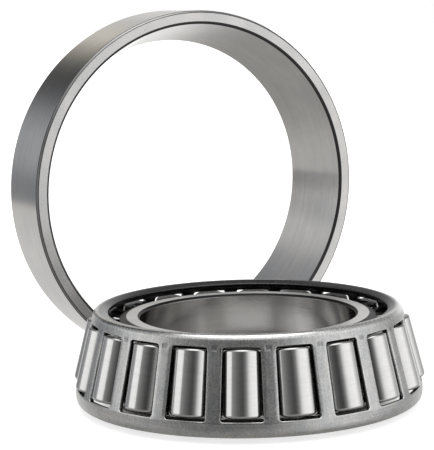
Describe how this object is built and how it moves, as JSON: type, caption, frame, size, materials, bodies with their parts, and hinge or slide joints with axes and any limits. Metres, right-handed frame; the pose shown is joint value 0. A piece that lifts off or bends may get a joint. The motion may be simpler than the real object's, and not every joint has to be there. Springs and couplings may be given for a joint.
{
  "type": "tapered roller bearing",
  "caption": "Separable tapered roller bearing: an inner ring with caged tapered rollers lies flat and its outer ring stands on its rim behind it.",
  "frame": {"origin": "centre of the bore at the inner ring's back face, on the table", "axes": "+Z along the bore towards the rollers' small ends; +Y along the standing outer ring's axis, away from the rollers; +X to the right of +Y seen from above"},
  "size_m": [0.0963, 0.1006, 0.09],
  "materials": {
    "ring_steel": "fine ground bearing steel, with a matt grained face and polished races",
    "roller_steel": "superfinished bearing steel",
    "cage_steel": "pressed sheet steel, satin"
  },
  "bodies": {
    "inner_ring": {"inner_ring": "ring_steel"},
    "outer_ring": {"outer_ring": "ring_steel"},
    "roller_cage": {"roller_cage": "cage_steel"},
    "roller_01": {"roller_01": "roller_steel"},
    "roller_02": {"roller_02": "roller_steel"},
    "roller_03": {"roller_03": "roller_steel"},
    "roller_04": {"roller_04": "roller_steel"},
    "roller_05": {"roller_05": "roller_steel"},
    "roller_06": {"roller_06": "roller_steel"},
    "roller_07": {"roller_07": "roller_steel"},
    "roller_08": {"roller_08": "roller_steel"},
    "roller_09": {"roller_09": "roller_steel"},
    "roller_10": {"roller_10": "roller_steel"},
    "roller_11": {"roller_11": "roller_steel"},
    "roller_12": {"roller_12": "roller_steel"},
    "roller_13": {"roller_13": "roller_steel"},
    "roller_14": {"roller_14": "roller_steel"},
    "roller_15": {"roller_15": "roller_steel"},
    "roller_16": {"roller_16": "roller_steel"},
    "roller_17": {"roller_17": "roller_steel"},
    "roller_18": {"roller_18": "roller_steel"},
    "roller_19": {"roller_19": "roller_steel"},
    "roller_20": {"roller_20": "roller_steel"}
  },
  "joints": [
    {"name": "outer_ring_swing", "type": "hinge", "parent": "inner_ring", "child": "outer_ring", "pos_m": [0.0107, 0.04159, 0.00206], "axis": [0.9844, -0.1246, -0.1246], "range_deg": [0, 90.9]},
    {"name": "cage_turn", "type": "hinge", "parent": "inner_ring", "child": "roller_cage", "pos_m": [0, 0, 0], "axis": [0, 0, 1], "continuous": true},
    {"name": "roller_01_spin", "type": "hinge", "parent": "roller_cage", "child": "roller_01", "pos_m": [0.03619, 0.00291, 0.00488], "axis": [-0.2217, -0.0178, 0.975], "continuous": true},
    {"name": "roller_02_spin", "type": "hinge", "parent": "roller_cage", "child": "roller_02", "pos_m": [0.03352, 0.01395, 0.00488], "axis": [-0.2053, -0.0855, 0.975], "continuous": true},
    {"name": "roller_03_spin", "type": "hinge", "parent": "roller_cage", "child": "roller_03", "pos_m": [0.02756, 0.02363, 0.00488], "axis": [-0.1689, -0.1447, 0.975], "continuous": true},
    {"name": "roller_04_spin", "type": "hinge", "parent": "roller_cage", "child": "roller_04", "pos_m": [0.01891, 0.03099, 0.00488], "axis": [-0.1159, -0.1898, 0.975], "continuous": true},
    {"name": "roller_05_spin", "type": "hinge", "parent": "roller_cage", "child": "roller_05", "pos_m": [0.00841, 0.03532, 0.00488], "axis": [-0.0515, -0.2164, 0.975], "continuous": true},
    {"name": "roller_06_spin", "type": "hinge", "parent": "roller_cage", "child": "roller_06", "pos_m": [-0.00291, 0.03619, 0.00488], "axis": [0.0178, -0.2217, 0.975], "continuous": true},
    {"name": "roller_07_spin", "type": "hinge", "parent": "roller_cage", "child": "roller_07", "pos_m": [-0.01395, 0.03352, 0.00488], "axis": [0.0855, -0.2053, 0.975], "continuous": true},
    {"name": "roller_08_spin", "type": "hinge", "parent": "roller_cage", "child": "roller_08", "pos_m": [-0.02363, 0.02756, 0.00488], "axis": [0.1447, -0.1689, 0.975], "continuous": true},
    {"name": "roller_09_spin", "type": "hinge", "parent": "roller_cage", "child": "roller_09", "pos_m": [-0.03099, 0.01891, 0.00488], "axis": [0.1898, -0.1159, 0.975], "continuous": true},
    {"name": "roller_10_spin", "type": "hinge", "parent": "roller_cage", "child": "roller_10", "pos_m": [-0.03532, 0.00841, 0.00488], "axis": [0.2164, -0.0515, 0.975], "continuous": true},
    {"name": "roller_11_spin", "type": "hinge", "parent": "roller_cage", "child": "roller_11", "pos_m": [-0.03619, -0.00291, 0.00488], "axis": [0.2217, 0.0178, 0.975], "continuous": true},
    {"name": "roller_12_spin", "type": "hinge", "parent": "roller_cage", "child": "roller_12", "pos_m": [-0.03352, -0.01395, 0.00488], "axis": [0.2053, 0.0855, 0.975], "continuous": true},
    {"name": "roller_13_spin", "type": "hinge", "parent": "roller_cage", "child": "roller_13", "pos_m": [-0.02756, -0.02363, 0.00488], "axis": [0.1689, 0.1447, 0.975], "continuous": true},
    {"name": "roller_14_spin", "type": "hinge", "parent": "roller_cage", "child": "roller_14", "pos_m": [-0.01891, -0.03099, 0.00488], "axis": [0.1159, 0.1898, 0.975], "continuous": true},
    {"name": "roller_15_spin", "type": "hinge", "parent": "roller_cage", "child": "roller_15", "pos_m": [-0.00841, -0.03532, 0.00488], "axis": [0.0515, 0.2164, 0.975], "continuous": true},
    {"name": "roller_16_spin", "type": "hinge", "parent": "roller_cage", "child": "roller_16", "pos_m": [0.00291, -0.03619, 0.00488], "axis": [-0.0178, 0.2217, 0.975], "continuous": true},
    {"name": "roller_17_spin", "type": "hinge", "parent": "roller_cage", "child": "roller_17", "pos_m": [0.01395, -0.03352, 0.00488], "axis": [-0.0855, 0.2053, 0.975], "continuous": true},
    {"name": "roller_18_spin", "type": "hinge", "parent": "roller_cage", "child": "roller_18", "pos_m": [0.02363, -0.02756, 0.00488], "axis": [-0.1447, 0.1689, 0.975], "continuous": true},
    {"name": "roller_19_spin", "type": "hinge", "parent": "roller_cage", "child": "roller_19", "pos_m": [0.03099, -0.01891, 0.00488], "axis": [-0.1898, 0.1159, 0.975], "continuous": true},
    {"name": "roller_20_spin", "type": "hinge", "parent": "roller_cage", "child": "roller_20", "pos_m": [0.03532, -0.00841, 0.00488], "axis": [-0.2164, 0.0515, 0.975], "continuous": true}
  ],
  "couplings": [
    {"joint": "roller_01_spin", "follows": "cage_turn", "ratio": 6.7493},
    {"joint": "roller_02_spin", "follows": "cage_turn", "ratio": 6.7493},
    {"joint": "roller_03_spin", "follows": "cage_turn", "ratio": 6.7493},
    {"joint": "roller_04_spin", "follows": "cage_turn", "ratio": 6.7493},
    {"joint": "roller_05_spin", "follows": "cage_turn", "ratio": 6.7493},
    {"joint": "roller_06_spin", "follows": "cage_turn", "ratio": 6.7493},
    {"joint": "roller_07_spin", "follows": "cage_turn", "ratio": 6.7493},
    {"joint": "roller_08_spin", "follows": "cage_turn", "ratio": 6.7493},
    {"joint": "roller_09_spin", "follows": "cage_turn", "ratio": 6.7493},
    {"joint": "roller_10_spin", "follows": "cage_turn", "ratio": 6.7493},
    {"joint": "roller_11_spin", "follows": "cage_turn", "ratio": 6.7493},
    {"joint": "roller_12_spin", "follows": "cage_turn", "ratio": 6.7493},
    {"joint": "roller_13_spin", "follows": "cage_turn", "ratio": 6.7493},
    {"joint": "roller_14_spin", "follows": "cage_turn", "ratio": 6.7493},
    {"joint": "roller_15_spin", "follows": "cage_turn", "ratio": 6.7493},
    {"joint": "roller_16_spin", "follows": "cage_turn", "ratio": 6.7493},
    {"joint": "roller_17_spin", "follows": "cage_turn", "ratio": 6.7493},
    {"joint": "roller_18_spin", "follows": "cage_turn", "ratio": 6.7493},
    {"joint": "roller_19_spin", "follows": "cage_turn", "ratio": 6.7493},
    {"joint": "roller_20_spin", "follows": "cage_turn", "ratio": 6.7493}
  ]
}
